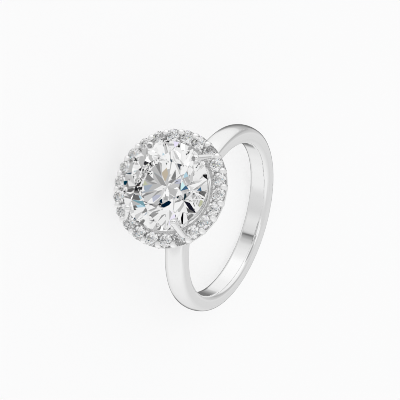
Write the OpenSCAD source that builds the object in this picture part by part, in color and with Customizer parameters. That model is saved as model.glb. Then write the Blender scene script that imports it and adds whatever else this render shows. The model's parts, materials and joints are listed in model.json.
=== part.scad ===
// Halo ring: a plain band whose head holds a round centre stone in four claws, with a halo
// of small round stones set below its girdle. Lengths are in millimetres, angles in degrees.
// The ring lies on its side on the plane z = 0, touching it with the halo and the far edge
// of the band, and the origin is under the middle of its outline.
//
// Band frame: z along the finger, -y towards the head, origin in the middle of the finger hole.
// Head frame: z away from the finger, x along the finger, the same origin.
// A stone's own frame: z towards its table, origin in the middle of its girdle.

/* [Band] */
// Diameter of the finger hole
finger_d = 16.5; // [15:0.1:19]
// Width of the band along the finger
band_w = 2.3; // [2:0.05:3]
// Thickness of the band
band_t = 1.8; // [1.5:0.05:2.2]
// Rounding of the band's outer edges
outer_edge_r = 0.6; // [0.4:0.05:0.7]
// Rounding of the band's inner edges
inner_edge_r = 0.55; // [0.3:0.05:0.7]
// Radius of the dome across the band's outer face
band_dome_r = 2; // [1.7:0.1:4]

/* [Centre stone] */
// Diameter of the centre stone
stone_d = 9; // [8.6:0.1:9.6]
// Height of its girdle over the band
stone_lift = 4.9; // [4.75:0.05:5.4]
// Turn of its facets about its axis
stone_turn = 22.5; // [0:0.5:45]

/* [Cut of the stones] */
// Table across its corners, as a share of the diameter
table_share = 0.54; // [0.5:0.01:0.6]
// Slope of the crown
crown_angle = 36.2; // [34:0.1:37]
// Slope of the pavilion
pavilion_angle = 40.8; // [40:0.1:41.5]
// Reach of the star facets from the table to the girdle
star_share = 0.49; // [0.4:0.01:0.6]
// Reach of the lower facets from the girdle to the point
lower_share = 0.8; // [0.7:0.01:0.84]
// Thickness of the girdle, as a share of the diameter
girdle_share = 0.022; // [0.02:0.001:0.035]

/* [Claws] */
// Direction from the finger axis, seen from above the head, of the gap between two halo stones
// that a claw stands in: the nearest gap is taken
claw_angle = 50; // [46:1:54]
// Turn of the claw from the middle of that gap
claw_turn = 2.9; // [0:0.1:3.2]
// Diameter of a claw
claw_d = 0.72; // [0.6:0.02:0.8]
// Diameter of its round tip
claw_ball_d = 0.78; // [0.74:0.02:0.9]
// Distance of a claw's middle outside the girdle
claw_out = 0.15; // [0.08:0.01:0.2]
// Lean of the claws over the stone
claw_lean = 28; // [24:1:31]
// Depth of the claws' feet in the halo plate
claw_sink = 0.3; // [0.2:0.02:0.4]

/* [Basket] */
// Diameter of the struts that carry the halo plate
strut_d = 0.66; // [0.56:0.02:0.8]
// Slope of a strut at its foot
foot_slope = 44; // [41:1:47]
// Slope of a strut where it meets the halo plate
strut_slope = 65; // [62:1:68]
// Radius of the bend between the two
strut_bend_r = 1.2; // [0.8:0.1:1.6]
// Thickness of the round wire that carries the struts on the band
base_wire_d = 0.8; // [0.6:0.05:1]
// Thickness of the round wire half way up the struts
rail_wire_d = 0.56; // [0.4:0.02:0.7]

/* [Halo] */
// Diameter of a halo stone
halo_stone_d = 1.4; // [1.2:0.05:1.6]
// Distance from the centre stone's girdle to the halo stones, seen from above the head
halo_clear = 0.15; // [0:0.01:0.25]
// Least gap between neighbouring halo stones
halo_stone_gap = 0.1; // [0.08:0.01:0.3]
// Drop from the girdle of the centre stone to those of the halo stones
halo_drop = 1.08; // [0.95:0.01:1.2]
// Thickness of the halo plate
plate_t = 0.7; // [0.6:0.05:0.9]
// Wall between the halo stones and the inside of the plate
plate_inner_wall = 0.32; // [0.28:0.01:0.4]
// How far the plate's edge leans in from its top to its bottom
plate_undercut = 0.22; // [0.1:0.01:0.35]
// Radius of the hole behind each halo stone
azure_r = 0.34; // [0.26:0.01:0.4]
// Diameter of the outer claws that neighbouring halo stones share
outer_claw_d = 0.76; // [0.66:0.02:0.84]
// Diameter of the inner beads that neighbouring halo stones share
inner_bead_d = 0.4; // [0.34:0.02:0.5]
// How far the shared claws stand above the girdles of the halo stones
shared_claw_rise = 0.26; // [0.22:0.01:0.32]

/* [Fits] */
// Gap between a stone and the metal
seat_gap = 0.03; // [0.02:0.005:0.05]

/* [Hidden] */
round_fn = 96;
wire_fn = 40;
// Sizes of a lifelike cut: eight kites, each flanked by two halves
kites = 8;
half_turn = 360 / kites / 2;
quarter_turn = half_turn / 2;
// Girdle points in each half, on the centre stone and on a halo stone
fine_steps = 4;
plain_steps = 2;

finger_r = finger_d / 2;
band_or = finger_r + band_t;

// Centres of the roundings of the band's section, and where the outer one meets the dome
dome_x = band_or - band_dome_r;
outer_edge_y = band_w / 2 - outer_edge_r;
outer_edge_x = dome_x + sqrt(pow(band_dome_r - outer_edge_r, 2) - pow(outer_edge_y, 2));
inner_edge_y = band_w / 2 - inner_edge_r;
inner_edge_x = finger_r + inner_edge_r;
dome_reach = band_dome_r / (band_dome_r - outer_edge_r);
dome_end_x = dome_x + dome_reach * (outer_edge_x - dome_x);
dome_end_y = dome_reach * outer_edge_y;

stone_r = stone_d / 2;
girdle_z = band_or + stone_lift;

halo_stone_r = halo_stone_d / 2;
halo_r = stone_r + halo_clear + halo_stone_r;
// An even number of halo stones, so that the gaps lie in opposite pairs as the claws do
halo_count = 2 * floor(90 / asin((halo_stone_d + halo_stone_gap) / 2 / halo_r));
halo_pitch = 360 / halo_count;
halo_girdle_z = girdle_z - halo_drop;

// The plate's top lies this far under the halo stones' girdles
plate_below = 0.22;
plate_top = halo_girdle_z - plate_below;
plate_bottom = plate_top - plate_t;
// The plate's edge keeps this far inside the edge of the halo stones
plate_inset = 0.05;
plate_or = halo_r + halo_stone_r - plate_inset;
plate_ir = halo_r - halo_stone_r - plate_inner_wall;
// The lower share of the plate's edge leans in
undercut_share = 0.62;
undercut_top = plate_bottom + undercut_share * plate_t;
azure_flare = 0.14;
azure_flare_depth = 0.2;

outer_claw_r = outer_claw_d / 2;
// The outer claws stand out of the halo stones' edge by this much
outer_claw_proud = 0.01;
halo_or = halo_r + halo_stone_r + outer_claw_proud;
outer_claw_at = halo_or - outer_claw_r;
outer_claw_foot = undercut_top;
inner_bead_r = inner_bead_d / 2;
// The inner beads' middles lie this far outside the inner edge of the halo stones
inner_bead_in = 0.1;
inner_bead_at = halo_r - halo_stone_r + inner_bead_in;
shared_claw_top = halo_girdle_z + shared_claw_rise;

// A claw stands in the halo plate and leans in over the girdle. Its tip bears on the crown
claw_r = claw_d / 2;
claw_at = halo_pitch * round(claw_angle / halo_pitch) + claw_turn;
function on_claw(run) =
    [stone_r + claw_out - run * sin(claw_lean), girdle_z + run * cos(claw_lean)];
tip_run = (claw_ball_d / 2 + seat_gap + girdle_half(stone_d) * cos(crown_angle)
    - claw_out * sin(crown_angle)) / cos(crown_angle + claw_lean);
tip_at = on_claw(tip_run);
claw_foot = on_claw((plate_top - claw_sink - girdle_z) / cos(claw_lean));

// A strut ends inside the halo plate, with this much of the plate on its inner side
strut_r = strut_d / 2;
strut_cover = 0.05;
strut_top = [plate_ir + strut_r + strut_cover, plate_bottom + plate_t / 2];
function along(angle) = [cos(angle), sin(angle)];
bend_mid = strut_top + strut_bend_r * along(strut_slope + 90);
bend_start = bend_mid + strut_bend_r * along(foot_slope - 90);
// A strut's two stretches meet in a knuckle a trifle thicker than the strut, and the straight
// one stops a little short of the knuckle's middle
knuckle_r = 1.02 * strut_r;
knuckle_short = 0.05 * strut_r;
// The struts start in the base wire, which is sunk into the band by a share of its thickness
base_sink_share = 0.45;
base_z = band_or + base_wire_d * (0.5 - base_sink_share);
base_at = [bend_start.x - (bend_start.y - base_z) / tan(foot_slope), base_z];
rail_share = 0.6;
rail_at = base_at + rail_share * (bend_start - base_at);

// How the ring lies: the plane under it touches the foot of a shared claw of the halo and
// the rounded outer edge of the band on the far side of the finger hole
touch_run = outer_claw_foot + outer_edge_x;
touch_fall = halo_or - outer_edge_y;
lean = atan2(touch_fall, touch_run) - asin(outer_edge_r / norm([touch_run, touch_fall]));
hoop_z = halo_or * cos(lean) - outer_claw_foot * sin(lean);
// Its reach along y, to the table's lowest corner or a claw's tip and to the far side of the band
stone_top = girdle_z + table_z(stone_d);
corner_turn = abs((stone_turn + half_turn) % (2 * half_turn) - half_turn);
front_reach = max(
    stone_top * cos(lean) + table_share * stone_r * cos(corner_turn) * sin(lean),
    tip_at.y * cos(lean) + tip_at.x * cos(claw_at) * sin(lean) + claw_ball_d / 2);
back_reach = max(
    outer_edge_x * cos(lean) + outer_edge_y * sin(lean) + outer_edge_r,
    dome_x * cos(lean) + band_dome_r);
hoop_y = (front_reach - back_reach) / 2;

halo_names = [for (i = [1:halo_count]) str("halo_stone_", i < 10 ? "0" : "", i)];

// Heights and radii of a round brilliant of diameter d
function girdle_half(d) = girdle_share * d / 2;
function table_z(d) = girdle_half(d) + (1 - table_share) * d / 2 * tan(crown_angle);
function star_r(d) = let (edge = table_share * cos(half_turn))
    (edge + star_share * (1 - edge)) * d / 2;
function star_z(d) = girdle_half(d) + (d / 2 - star_r(d) * cos(half_turn)) * tan(crown_angle);
function lower_r(d) = (1 - lower_share) * d / 2;
function lower_z(d) =
    -girdle_half(d) - (d / 2 - lower_r(d) * cos(half_turn)) * tan(pavilion_angle);
function point_z(d) = -girdle_half(d) - d / 2 * tan(pavilion_angle);

// Outline of the space that a brilliant sweeps, grown by gap, from the table to the point
function swept_outline(d, gap) = [
    [0, table_z(d) + gap],
    [table_share * d / 2 + gap, table_z(d) + gap],
    [star_r(d) + gap, star_z(d) + gap],
    [d / 2 + gap, girdle_half(d) + gap],
    [d / 2 + gap, -girdle_half(d) - gap],
    [lower_r(d) + gap, lower_z(d) - gap],
    [0, point_z(d) - gap]];

function ring_of(r, z, count, start) =
    [for (i = [0:count - 1]) let (a = start + 360 * i / count) [r * cos(a), r * sin(a), z]];

// Height of the girdle's upper edge over its middle at girdle point i: each half facet is a
// plane through a kite's tip, the next star's tip and the girdle between them
function dip(d, i, steps) =
    let (a = abs(i % (2 * steps) - steps) * half_turn / steps)
    d / 2 * (cos(a - quarter_turn) - cos(quarter_turn));
function upper_girdle(d, i, steps) = girdle_half(d) - dip(d, i, steps)
    * (star_z(d) - girdle_half(d)) / ((d / 2 - star_r(d)) * cos(quarter_turn));
function lower_girdle(d, i, steps) = -girdle_half(d) + dip(d, i, steps)
    * (-girdle_half(d) - lower_z(d)) / ((d / 2 - lower_r(d)) * cos(quarter_turn));
function girdle_ring(d, steps, upper) =
    let (count = 2 * kites * steps)
    [for (i = [0:count - 1]) let (a = 360 * i / count)
        [d / 2 * cos(a), d / 2 * sin(a),
         upper ? upper_girdle(d, i, steps) : lower_girdle(d, i, steps)]];

// A round brilliant: table, stars, kites and halves over the girdle, halves and mains below it
module brilliant(d, steps) {
    count = 2 * kites * steps;
    points = concat(
        ring_of(table_share * d / 2, table_z(d), kites, 0),
        ring_of(star_r(d), star_z(d), kites, half_turn),
        girdle_ring(d, steps, true),
        girdle_ring(d, steps, false),
        ring_of(lower_r(d), lower_z(d), kites, half_turn),
        [[0, 0, point_z(d)]]);
    table = 0;
    star = kites;
    upper = 2 * kites;
    lower = upper + count;
    shoulder = lower + count;
    tip = shoulder + kites;
    faces = concat(
        [[for (k = [kites - 1:-1:0]) table + k]],
        [for (k = [0:kites - 1]) [table + k, table + (k + 1) % kites, star + k]],
        [for (k = [0:kites - 1])
            [table + k, star + k, upper + 2 * k * steps, star + (k + kites - 1) % kites]],
        [for (k = [0:kites - 1], side = [0, 1])
            let (first = upper + (2 * k + side) * steps)
            concat([star + k],
                [for (j = [steps:-1:0]) upper + (first - upper + j) % count])],
        [for (i = [0:count - 1])
            [upper + i, upper + (i + 1) % count, lower + (i + 1) % count, lower + i]],
        [for (k = [0:kites - 1], side = [0, 1])
            let (first = (2 * k + side) * steps)
            concat([shoulder + k], [for (j = [0:steps]) lower + (first + j) % count])],
        [for (k = [0:kites - 1])
            [tip, shoulder + (k + kites - 1) % kites, lower + 2 * k * steps, shoulder + k]]);
    polyhedron(points, faces, convexity = 2);
}

// Puts the band frame where the ring lies on the plane under it
module lay_down() {
    translate([0, hoop_y, hoop_z]) rotate([-lean, 0, 0]) children();
}

// Puts the head frame on the band
module in_head() {
    rotate([0, -90, 0]) rotate([90, 0, 0]) children();
}

module at_halo_stone(i) {
    rotate([0, 0, (i - 0.5) * halo_pitch]) translate([halo_r, 0, halo_girdle_z]) children();
}

// Section of the band, right of the y axis
module band_section() {
    polygon([
        [finger_r, -inner_edge_y],
        [inner_edge_x, -band_w / 2],
        [outer_edge_x, -band_w / 2],
        [dome_end_x, -dome_end_y],
        [dome_end_x, dome_end_y],
        [outer_edge_x, band_w / 2],
        [inner_edge_x, band_w / 2],
        [finger_r, inner_edge_y]]);
    for (side = [-1, 1]) {
        translate([outer_edge_x, side * outer_edge_y]) circle(outer_edge_r, $fn = wire_fn);
        translate([inner_edge_x, side * inner_edge_y]) circle(inner_edge_r, $fn = wire_fn);
    }
    intersection() {
        translate([dome_x, 0]) circle(band_dome_r, $fn = round_fn);
        translate([dome_end_x - seat_gap, -dome_end_y])
            square([band_or - dome_end_x + 2 * seat_gap, 2 * dome_end_y]);
    }
}

module band() {
    rotate_extrude($fn = round_fn) band_section();
}

// A round wire bent into a ring round the head's axis
module wire_ring(at, d) {
    translate([0, 0, at.y])
        rotate_extrude($fn = round_fn) translate([at.x, 0]) circle(d / 2, $fn = wire_fn);
}

// Puts z along a slope, in the plane through the head's axis that a claw or a strut lies in
module facing(from, slope) {
    translate(from) rotate([0, 0, slope]) rotate([0, 90, 0]) rotate([0, 0, -90]) children();
}

module strut() {
    rotate([90, 0, 0]) {
        facing(base_at, foot_slope)
            cylinder(h = norm(bend_start - base_at) - knuckle_short, r = strut_r, $fn = wire_fn);
        facing(bend_start, foot_slope) sphere(knuckle_r, $fn = wire_fn);
        translate(bend_mid) rotate([0, 0, foot_slope - 90])
            rotate_extrude(angle = strut_slope - foot_slope, $fn = round_fn)
                translate([strut_bend_r, 0]) circle(strut_r, $fn = wire_fn);
    }
}

module claw() {
    rotate([90, 0, 0]) {
        facing(claw_foot, 90 + claw_lean)
            cylinder(h = norm(tip_at - claw_foot), r = claw_r, $fn = wire_fn);
        facing(tip_at, 90 + claw_lean) sphere(d = claw_ball_d, $fn = wire_fn);
    }
}

// Four struts and four claws, each pair in line
module at_claws() {
    for (side = [0, 180], mirrored = [-1, 1])
        rotate([0, 0, side + mirrored * claw_at]) children();
}

// Plate under the halo stones, its lower edge leaning in
module halo_plate() {
    rotate_extrude($fn = round_fn) polygon([
        [plate_ir, plate_bottom],
        [plate_or - plate_undercut, plate_bottom],
        [plate_or, undercut_top],
        [plate_or, plate_top],
        [plate_ir, plate_top]]);
}

// An upright pin of radius r with a round top
module round_pin(r, foot, top) {
    rotate_extrude($fn = wire_fn) {
        translate([0, foot]) square([r, top - r - foot]);
        intersection() {
            translate([0, top - r]) circle(r, $fn = wire_fn);
            translate([0, top - r]) square(r);
        }
    }
}

module shared_claws() {
    for (i = [1:halo_count]) rotate([0, 0, i * halo_pitch]) {
        translate([outer_claw_at, 0, 0])
            round_pin(outer_claw_r, outer_claw_foot, shared_claw_top);
        translate([inner_bead_at, 0, 0])
            round_pin(inner_bead_r, plate_bottom + plate_t / 2, shared_claw_top);
    }
}

// Room for the centre stone and its gap
module centre_seat() {
    translate([0, 0, girdle_z])
        rotate_extrude($fn = round_fn) polygon(swept_outline(stone_d, seat_gap));
}

// Room for a halo stone and its gap, and the flared hole behind it
module halo_seat() {
    under = plate_bottom - halo_girdle_z;
    rotate_extrude($fn = wire_fn) {
        polygon(swept_outline(halo_stone_d, seat_gap));
        polygon([
            [0, 0],
            [azure_r, 0],
            [azure_r, under + azure_flare_depth],
            [azure_r + azure_flare, under],
            [azure_r + azure_flare, under - seat_gap],
            [0, under - seat_gap]]);
    }
}

// The cast metal: band, base wire, rail, struts, halo plate and claws, soldered into one
module band_and_setting() {
    color("gainsboro") lay_down() {
        difference() {
            union() {
                band();
                in_head() {
                    wire_ring(base_at, base_wire_d);
                    wire_ring(rail_at, rail_wire_d);
                    at_claws() strut();
                    at_claws() claw();
                    halo_plate();
                    shared_claws();
                }
            }
            in_head() {
                centre_seat();
                for (i = [1:halo_count]) at_halo_stone(i) halo_seat();
            }
        }
    }
}

module centre_stone() {
    color("aliceblue") lay_down() in_head()
        translate([0, 0, girdle_z]) rotate([0, 0, stone_turn]) brilliant(stone_d, fine_steps);
}

module halo_stone(i) {
    color("white") lay_down() in_head() at_halo_stone(i) brilliant(halo_stone_d, plain_steps);
}

band_and_setting();
centre_stone();
for (i = [1:halo_count])
    halo_stone(i);
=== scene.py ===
"""Looks of the halo ring: polished white metal, clear cut stones, a pale floor and studio light."""
import json
import math

import bpy
from mathutils import Matrix, Vector

MM = 0.001

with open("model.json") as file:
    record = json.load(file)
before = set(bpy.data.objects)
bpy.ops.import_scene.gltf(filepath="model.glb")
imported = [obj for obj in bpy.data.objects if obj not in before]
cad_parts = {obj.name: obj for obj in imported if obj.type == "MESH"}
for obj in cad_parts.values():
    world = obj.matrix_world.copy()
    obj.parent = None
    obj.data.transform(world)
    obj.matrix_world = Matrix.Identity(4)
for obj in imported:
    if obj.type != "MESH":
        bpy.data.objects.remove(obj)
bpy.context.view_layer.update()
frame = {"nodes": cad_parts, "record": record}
nodes_by_name = frame["nodes"]
mounts = {m["name"]: m for m in frame["record"]["mounts"]}
finger_bore = mounts["finger_bore"]

# The ring's own axes in the row frame: out of the head, along the finger and across both
along_finger = Vector(finger_bore["axis"]).normalized()
across = Vector((-1, 0, 0))
to_head = along_finger.cross(across).normalized()
hoop_centre = Vector(finger_bore["pos_m"])


def ring_direction(head, finger, side):
    """A direction given in the ring's own axes, in the row frame."""
    return to_head * head + along_finger * finger + across * side


def ring_point(head, finger, side):
    """A point given in millimetres from the middle of the finger hole, in the row frame."""
    return hoop_centre + ring_direction(head, finger, side) * MM


# The camera, as fitted to the outlines of band and halo in the photo: a long lens, the nearest and
# farthest that it sees in metres, its place in the ring's own axes, and the directions of the
# picture's top and of the camera's back
CAMERA_LENS = 200
CAMERA_SENSOR = 36
CAMERA_SEES = 0.01, 10
CAMERA_AT = (210.15, 95.99, -20.93)
CAMERA_UP = (0.2208, -0.2587, 0.9404)
CAMERA_BACK = (0.9007, 0.4240, -0.0948)


def make_camera():
    data = bpy.data.cameras.new("camera")
    data.lens = CAMERA_LENS
    data.sensor_width = CAMERA_SENSOR
    data.clip_start, data.clip_end = CAMERA_SEES
    camera = bpy.data.objects.new("camera", data)
    bpy.context.scene.collection.objects.link(camera)
    back = ring_direction(*CAMERA_BACK).normalized()
    right = ring_direction(*CAMERA_UP).cross(back).normalized()
    up = back.cross(right)
    camera.matrix_world = Matrix.Translation(ring_point(*CAMERA_AT)) @ Matrix(
        (right, up, back)).transposed().to_4x4()
    bpy.context.scene.camera = camera


class Tree:
    """Short calls for building a node tree."""

    # A mix node's sockets for colours, which have the same names as those for numbers
    TINT_LOW, TINT_HIGH, TINT_OUT = 6, 7, 2

    def __init__(self, tree):
        self.tree = tree
        tree.nodes.clear()

    def add(self, kind, settings=None, **inputs):
        """A node; inputs are named by their sockets, with _ for a space, and take what put does."""
        node = self.tree.nodes.new(kind)
        for key, value in (settings or {}).items():
            setattr(node, key, value)
        for key, value in inputs.items():
            self.put(node.inputs[key.replace("_", " ")], value)
        return node

    def put(self, socket, value):
        """Links another socket to this one, or sets its value."""
        if isinstance(value, bpy.types.NodeSocket):
            self.tree.links.new(value, socket)
        else:
            socket.default_value = value

    def math(self, operation, *values):
        node = self.add("ShaderNodeMath", {"operation": operation})
        for socket, value in zip(node.inputs, values):
            self.put(socket, value)
        return node.outputs[0]

    def dot(self, vector, other):
        node = self.add("ShaderNodeVectorMath", {"operation": "DOT_PRODUCT"})
        self.put(node.inputs[0], vector)
        self.put(node.inputs[1], other)
        return node.outputs["Value"]

    def ramp(self, value, low, high, to_low=0.0, to_high=1.0, smooth=True):
        """Goes from to_low to to_high while the value goes from low to high."""
        node = self.add(
            "ShaderNodeMapRange", {"interpolation_type": "SMOOTHSTEP" if smooth else "LINEAR"},
            Value=value, From_Min=low, From_Max=high, To_Min=to_low, To_Max=to_high)
        return node.outputs[0]

    def mix(self, share, low, high):
        """A number between low and high."""
        node = self.add("ShaderNodeMix", {"data_type": "FLOAT"})
        self.put(node.inputs["Factor"], share)
        self.put(node.inputs["A"], low)
        self.put(node.inputs["B"], high)
        return node.outputs[0]

    def tint(self, share, low, high):
        """A colour between low and high."""
        node = self.add("ShaderNodeMix", {"data_type": "RGBA"})
        self.put(node.inputs["Factor"], share)
        self.put(node.inputs[self.TINT_LOW], low)
        self.put(node.inputs[self.TINT_HIGH], high)
        return node.outputs[self.TINT_OUT]

    def blend(self, share, low, high):
        """A surface between two others."""
        node = self.add("ShaderNodeMixShader", Fac=share)
        self.put(node.inputs[1], low.outputs[0])
        self.put(node.inputs[2], high.outputs[0])
        return node

    def noise(self, vector, scale, detail):
        return self.add("ShaderNodeTexNoise", Vector=vector, Scale=scale, Detail=detail).outputs[0]


def new_material(name):
    material = bpy.data.materials.new(name)
    material.use_nodes = True
    tree = Tree(material.node_tree)
    return material, tree


# Polished metal: mirror-like, with the faint cloud and fine scratches that a buffing wheel leaves
METAL_COLOUR = (0.93, 0.93, 0.93, 1)
METAL_ROUGHNESS = 0.04, 0.08
METAL_CLOUD_SCALE = 900
METAL_CLOUD_DETAIL = 3
METAL_CLOUD_EDGES = 0.35, 0.65
METAL_SCRATCH_SCALE = 9000
METAL_SCRATCH_DETAIL = 2
METAL_SCRATCH_STRETCH = (1, 1, 12)
METAL_BUMP = 0.02
METAL_BUMP_DEPTH = 0.002 * MM
# The inner wall of the halo plate is painted near black and the seats of its stones are painted
# grey:
# painted shade in the recess under the stones. The beads and shared claws above it are satin, which
# is their finish, and brighter than the rest through painted light. The ends of the two claws that
# face the picture's top are painted grey, a painted reflection. Heights along the head and
# distances from its axis are in millimetres, and each part's edge is this soft
PART_EDGE = 0.02
PAINTED_SHADE_WALL_COLOUR = (0.04, 0.04, 0.045, 1)
PAINTED_SHADE_WALL_DISTANCE = 4.2, 4.5
PAINTED_SHADE_SEAT_COLOUR = (0.5, 0.5, 0.505, 1)
PAINTED_SHADE_SEAT_DISTANCE = 4.5, 5.95
PAINTED_SHADE_RECESS_HEIGHT = 12.97, 13.6
PAINTED_LIGHT_SATIN_COLOUR = (1, 1, 1, 1)
SATIN_AND_PAINTED_LIGHT_HEIGHT = 13.62, 14.3
SATIN_AND_PAINTED_LIGHT_DISTANCE = 4.2, 6.1
SATIN_ROUGHNESS = 0.4
PAINTED_REFLECTION_CLAW_END_COLOUR = (0.42, 0.42, 0.425, 1)
# The middle of a claw's tip: its height along the head, its distance from the head's axis and its
# direction from the finger's axis. The claw leans inwards, and its end starts this far beyond the
# middle of its tip
CLAW_TIP_HEIGHT = 15.784
CLAW_TIP_DISTANCE = 4.206
CLAW_TURN = 51.99
CLAW_LEAN = 28
CLAW_END_FROM = 0.29


def on_ring(tree, place):
    """A point's place in the ring's own axes, in millimetres from the middle of the finger hole."""
    start = tree.add("ShaderNodeVectorMath", {"operation": "SUBTRACT"})
    tree.put(start.inputs[0], place)
    tree.put(start.inputs[1], hoop_centre)
    return [tree.dot(start.outputs[0], axis / MM) for axis in (to_head, along_finger, across)]


def round_part(tree, reach, heights, distances):
    """1 between these heights along the head and these distances from its axis, 0 elsewhere."""
    head, finger, side = reach
    distance = tree.math("SQRT", tree.math(
        "ADD", tree.math("POWER", finger, 2.0), tree.math("POWER", side, 2.0)))
    share = 1.0
    for value, (low, high) in ((head, heights), (distance, distances)):
        share = tree.math("MULTIPLY", share, tree.ramp(value, low - PART_EDGE, low))
        share = tree.math("MULTIPLY", share, tree.ramp(value, high, high + PART_EDGE, 1.0, 0.0))
    return share


def painted_reflection_claw_end(tree, reach):
    """1 on the ends of the two claws on the positive side, where a grey reflection is painted, 0
    elsewhere.
    """
    head, finger, side = reach
    lean, turn = math.radians(CLAW_LEAN), math.radians(CLAW_TURN)
    tip = (CLAW_TIP_HEIGHT, CLAW_TIP_DISTANCE * math.cos(turn), CLAW_TIP_DISTANCE * math.sin(turn))
    along = (math.cos(lean), -math.sin(lean) * math.cos(turn), -math.sin(lean) * math.sin(turn))
    run = 0.0
    for value, middle, way in zip((head, tree.math("ABSOLUTE", finger), side), tip, along):
        run = tree.math("MULTIPLY_ADD", tree.math("SUBTRACT", value, middle), way, run)
    above = tree.ramp(head, CLAW_TIP_HEIGHT, CLAW_TIP_HEIGHT + PART_EDGE)
    return tree.math("MULTIPLY", above, tree.math(
        "MULTIPLY", tree.ramp(side, 0.0, PART_EDGE),
        tree.ramp(run, CLAW_END_FROM, CLAW_END_FROM + PART_EDGE)))


def metal_material():
    material, tree = new_material("polished_white_metal")
    place = tree.add("ShaderNodeTexCoord").outputs["Object"]
    reach = on_ring(tree, place)
    # The beads and shared claws: a satin roughness, which is their finish, and a whiter colour,
    # which is painted light
    satin_and_painted_light = round_part(tree, reach, SATIN_AND_PAINTED_LIGHT_HEIGHT, SATIN_AND_PAINTED_LIGHT_DISTANCE)
    colour = tree.tint(satin_and_painted_light, METAL_COLOUR, PAINTED_LIGHT_SATIN_COLOUR)
    # Painted shade: the halo plate's inner wall and the seats under the halo stones are darkened
    for distances, painted_shade in ((PAINTED_SHADE_SEAT_DISTANCE, PAINTED_SHADE_SEAT_COLOUR), (PAINTED_SHADE_WALL_DISTANCE, PAINTED_SHADE_WALL_COLOUR)):
        colour = tree.tint(round_part(tree, reach, PAINTED_SHADE_RECESS_HEIGHT, distances), colour, painted_shade)
    # Painted reflection: the ends of the two claws on the positive side are painted grey
    colour = tree.tint(painted_reflection_claw_end(tree, reach), colour, PAINTED_REFLECTION_CLAW_END_COLOUR)
    cloud = tree.noise(place, METAL_CLOUD_SCALE, METAL_CLOUD_DETAIL)
    streaks = tree.add("ShaderNodeMapping", Vector=place, Scale=METAL_SCRATCH_STRETCH).outputs[0]
    scratches = tree.noise(streaks, METAL_SCRATCH_SCALE, METAL_SCRATCH_DETAIL)
    bump = tree.add("ShaderNodeBump", Height=scratches, Strength=METAL_BUMP,
                    Distance=METAL_BUMP_DEPTH).outputs[0]
    polish = tree.ramp(cloud, *METAL_CLOUD_EDGES, *METAL_ROUGHNESS)
    roughness = tree.mix(satin_and_painted_light, polish, SATIN_ROUGHNESS)
    shader = tree.add("ShaderNodeBsdfPrincipled", Base_Color=colour, Metallic=1.0, Normal=bump,
                      Roughness=roughness)
    tree.add("ShaderNodeOutputMaterial", Surface=shader.outputs[0])
    return material


# Cut stone: clear, and bending light as diamond does. Where a facet would mirror less than the
# first share of the light it mirrors none, and from the second share on it mirrors all, as if the
# glare were filtered off. This keeps the facets crisp
STONE_COLOUR = (1, 1, 1, 1)
STONE_BEND = 2.418
STONE_GLARE = 0.3, 0.9


def stone_material(name):
    material, tree = new_material(name)
    mirrored = tree.add("ShaderNodeFresnel", IOR=STONE_BEND).outputs[0]
    bent = tree.add("ShaderNodeBsdfRefraction", Color=STONE_COLOUR, Roughness=0.0, IOR=STONE_BEND)
    mirror = tree.add("ShaderNodeBsdfGlossy", Color=STONE_COLOUR, Roughness=0.0)
    stone = tree.blend(tree.ramp(mirrored, *STONE_GLARE, smooth=False), bent, mirror)
    tree.add("ShaderNodeOutputMaterial", Surface=stone.outputs[0])
    return material


# The floor is pale and plain, and this many metres wide. It is a light table: part of its light
# comes from below, which keeps the shadow faint
FLOOR_SIZE = 3.0
FLOOR_COLOUR = (0.9, 0.9, 0.902, 1)
FLOOR_GLOW = (0.95, 0.95, 0.952, 1)
FLOOR_GLOW_SHARE = 0.75


def floor_material():
    """What the ring mirrors and bends passes the floor, so that the studio shows in the ring all
    round, as it does in a ring that stands free."""
    material, tree = new_material("pale_floor")
    lit = tree.add("ShaderNodeBsdfDiffuse", Color=FLOOR_COLOUR)
    glow = tree.add("ShaderNodeEmission", Color=FLOOR_GLOW, Strength=1.0)
    open_air = tree.add("ShaderNodeBsdfTransparent")
    rays = tree.add("ShaderNodeLightPath").outputs
    passes = tree.math("MAXIMUM", rays["Is Glossy Ray"], rays["Is Transmission Ray"])
    floor = tree.blend(passes, tree.blend(FLOOR_GLOW_SHARE, lit, glow), open_air)
    tree.add("ShaderNodeOutputMaterial", Surface=floor.outputs[0])
    return material


def make_floor():
    mesh = bpy.data.meshes.new("floor")
    half = FLOOR_SIZE / 2
    corners = [(-half, -half, 0), (half, -half, 0), (half, half, 0), (-half, half, 0)]
    mesh.from_pydata(corners, [], [(0, 1, 2, 3)])
    floor = bpy.data.objects.new("floor", mesh)
    bpy.context.scene.collection.objects.link(floor)
    mesh.materials.append(floor_material())


# The studio round the ring, by direction in the row frame, in degrees: azimuth 0 is the side that
# the camera stands on, and 90 is along +X. The floor is lit evenly
FLOOR_LIGHT = 1.13
# What the metal mirrors: brightness by azimuth, and the even light that takes over high up and low
# down, between these two elevations
METAL_ROUND = [
    (-180, 0.72), (-165, 0.76), (-150, 0.62), (-140, 0.56), (-133, 0.46), (-125, 0.56),
    (-118, 0.84), (-108, 0.92), (-92, 0.94), (-72, 1.02), (-50, 1.05), (-32, 0.88), (-22, 0.8),
    (-14, 0.6), (-9, 0.38), (-5.5, 0.14), (-3.5, 0.68), (0, 0.76), (14, 0.82), (30, 0.7),
    (50, 0.74), (68, 0.9), (92, 0.92), (116, 0.88), (140, 0.82), (160, 0.76), (180, 0.72)]
METAL_POLES = 0.7
METAL_POLES_FROM = 42, 66
# Round fields over it, dark or bright. Each has an azimuth, an elevation, a half angle, the
# softness of its edge and a brightness, and lies over those before it
METAL_FIELDS = [
    (-168, -39, 16, 20, 0.2),
    (-40, 46, 9, 9, 0.42),
    (-8, 68, 6, 9, 0.98),
    (10, 42, 7, 9, 0.93),
]
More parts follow.
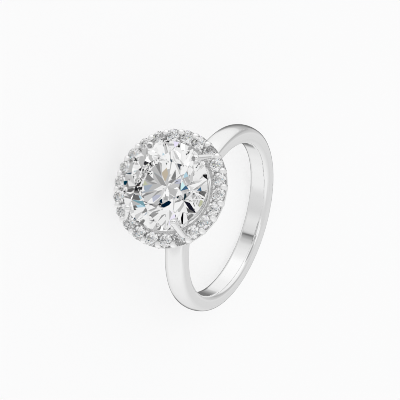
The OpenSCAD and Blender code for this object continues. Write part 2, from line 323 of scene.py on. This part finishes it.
# What the stones bend: an even light, and such fields over it. A cut stone splits light, so some
# of its fields have a colour instead of a brightness
STONE_BASE = 0.83
STONE_FIELDS = [
    (-32, 32, 10, 14, 0.9),
    (42, 42, 9, 7, 0.88),
    (8, 6, 14, 14, 0.48),
    (-27, 55, 2, 3, 0.4),
    (-10, 54, 3, 3, 0.58),
    (56, 63, 5, 3, 1.1),
    (-33, 46, 1, 2, (0.82, 0.77, 0.95)),
    (-34, -10, 6, 4, 1.1),
    (-17, -19, 4, 2, 0.95),
    (31, 20, 3, 2, 0.45),
    (41, -47, 10, 2, 0),
    (-60, -47, 8, 2, 0.23),
    (-177, -31, 10, 2, (0, 0.005, 0.01)),
    (155, -19, 6, 2, (0.24, 0.14, 0.12)),
    (4, -68, 2, 6, (0.5, 0.52, 0.36)),
    (74, 67, 4, 2, 0.2),
    (-49, 67, 1.5, 1, 0),
    (46, -9, 5, 1, (0.01, 0.03, 0.04)),
    (37, 12, 5, 2, 0.14),
    (32, 15, 2, 1, (0.05, 0.13, 0.23)),
    (24, 17, 1, 2, (0.18, 0.34, 0.4)),
    (23, 12, 1, 2, (0.6, 0.85, 0.87)),
    (20, 5, 3.5, 1, (0, 0.03, 0.06)),
    (15, -2, 1, 4, (0.48, 0.5, 0.6)),
    (0, 27, 1.5, 1.5, (0, 0.01, 0.03)),
    (2, 21, 2, 1, 0.2),
    (3, 15, 1, 1, 0.15),
    (13, 16, 3, 1, 0.12),
    (15, 10, 1, 3, (0.36, 0.42, 0.5)),
    (11, 24, 2.5, 1, 0.33),
    (27, 45, 1.5, 1, (0.01, 0.01, 0.02)),
    (20, 42, 1.5, 1, 0.95),
    (9, 45, 1, 2, (0.43, 0.62, 0.72)),
    (16, 53, 3, 1, 0.12),
    (21, 51, 2, 1, 0.2),
    (-2, 6, 0.5, 1.5, (0.52, 0.45, 0.35)),
    (-1, 1, 3, 1, 0.25),
    (-7, -4, 0.5, 2, (0.5, 0.53, 0.38)),
    (-11, 35, 2, 1, 0.25),
    (-17, 46, 2, 1, 0.3),
    (-1, 39, 2, 2, 0.33),
    (4, 44, 2, 1, 0.25),
    (37, 3, 2, 2, 0.37),
    (47, 18, 2, 2, 0.25),
    (33, -19, 3, 2, 0.22),
    (0, -23, 3, 2, 0.25),
    (-29, 73, 3, 2, 0.23),
    (58, 34, 3, 3, 0.47),
    (-31, 9, 3, 3, 0.48),
    (-62, 37, 3, 3, 0.5),
    (-64, 74, 3, 3, 0.55),
    (53, 27, 3, 3, 0.58),
    (23, 48, 1.5, 1.5, 0.33),
    (23, 26, 2, 2, 0.6),
    (-7, -12, 3, 3, 0.55),
    (-21, 5, 2, 2, 0.38),
    (40, 24, 2, 2, 0.45),
    (7, 32, 2, 2, 0.6),
    (56, 18, 3, 3, 0.5),
    (-4, 27, 2, 2, 0.52),
    (20, -20, 3, 3, 0.55),
]


def direction_of(azimuth, elevation):
    """A direction in the row frame."""
    a, e = math.radians(azimuth), math.radians(elevation)
    return Vector((math.sin(a) * math.cos(e), -math.cos(a) * math.cos(e), math.sin(e)))


def light_of(value):
    """The colour of a light, from its brightness or its red, green and blue."""
    return (*value, 1) if isinstance(value, tuple) else (value, value, value, 1)


def fields(tree, direction, light, table):
    """The light from a direction, with a table's round fields over it."""
    for azimuth, elevation, half_angle, softness, value in table:
        inside = tree.ramp(tree.dot(direction, direction_of(azimuth, elevation)),
                           math.cos(math.radians(half_angle + softness)),
                           math.cos(math.radians(half_angle)))
        light = tree.tint(inside, light, light_of(value))
    return light


def metal_studio(tree, direction):
    """What the metal mirrors."""
    x, y, z = tree.add("ShaderNodeSeparateXYZ", Vector=direction).outputs
    azimuth = tree.math("ARCTAN2", x, tree.math("MULTIPLY", y, -1.0))
    turn = tree.math("MULTIPLY_ADD", azimuth, 1 / math.tau, 0.5)
    ramp = tree.add("ShaderNodeValToRGB", Fac=turn)
    ramp.color_ramp.interpolation = "EASE"
    stops = ramp.color_ramp.elements
    while len(stops) < len(METAL_ROUND):
        stops.new(0.5)
    for stop, (degrees, value) in zip(stops, METAL_ROUND):
        stop.position = degrees / 360 + 0.5
        stop.color = light_of(value)
    low, high = METAL_POLES_FROM
    pole = tree.ramp(tree.math("ABSOLUTE", z), math.sin(math.radians(low)),
                     math.sin(math.radians(high)))
    light = tree.tint(pole, ramp.outputs[0], light_of(METAL_POLES))
    return fields(tree, direction, light, METAL_FIELDS)


def stone_studio(tree, direction):
    """What the stones bend."""
    return fields(tree, direction, light_of(STONE_BASE), STONE_FIELDS)


def make_world():
    """A studio that shows another look to the metal, to the stones and to the floor."""
    world = bpy.data.worlds.new("studio")
    bpy.context.scene.world = world
    world.use_nodes = True
    tree = Tree(world.node_tree)
    direction = tree.add("ShaderNodeTexCoord").outputs["Generated"]
    rays = tree.add("ShaderNodeLightPath").outputs
    light = light_of(FLOOR_LIGHT)
    for ray, look in (("Is Glossy Ray", metal_studio), ("Is Transmission Ray", stone_studio)):
        light = tree.tint(rays[ray], light, look(tree, direction))
    background = tree.add("ShaderNodeBackground", Color=light, Strength=1.0)
    tree.add("ShaderNodeOutputWorld", Surface=background.outputs[0])


def cut_flat(mesh):
    """Drops the imported corner normals, so that each facet is flat."""
    mesh.attributes.remove(mesh.attributes["custom_normal"])
    mesh.shade_flat()


def dress():
    """Gives each piece its material."""
    metal = metal_material()
    centre = stone_material("clear_centre_stone")
    halo = stone_material("clear_halo_stone")
    for name, piece in nodes_by_name.items():
        chosen = metal
        if name == "centre_stone":
            chosen = centre
        elif name.startswith("halo_stone"):
            chosen = halo
        piece.data.materials.clear()
        piece.data.materials.append(chosen)
        if chosen is not metal:
            cut_flat(piece.data)


# Light turns many times inside a cut stone and between the claws before it leaves. The filter, in
# pixels, makes the picture as crisp as the photo
LIGHT_TURNS = 32
TURNS_OF_ONE_KIND = 24
FILTER_WIDTH = 0.9


def set_picture():
    """Sets the light's turns, the filter and plain, unchanged colours."""
    scene = bpy.context.scene
    scene.cycles.max_bounces = LIGHT_TURNS
    scene.cycles.glossy_bounces = TURNS_OF_ONE_KIND
    scene.cycles.transmission_bounces = TURNS_OF_ONE_KIND
    scene.cycles.filter_width = FILTER_WIDTH
    scene.view_settings.view_transform = "Standard"


make_camera()
make_floor()
make_world()
dress()
set_picture()
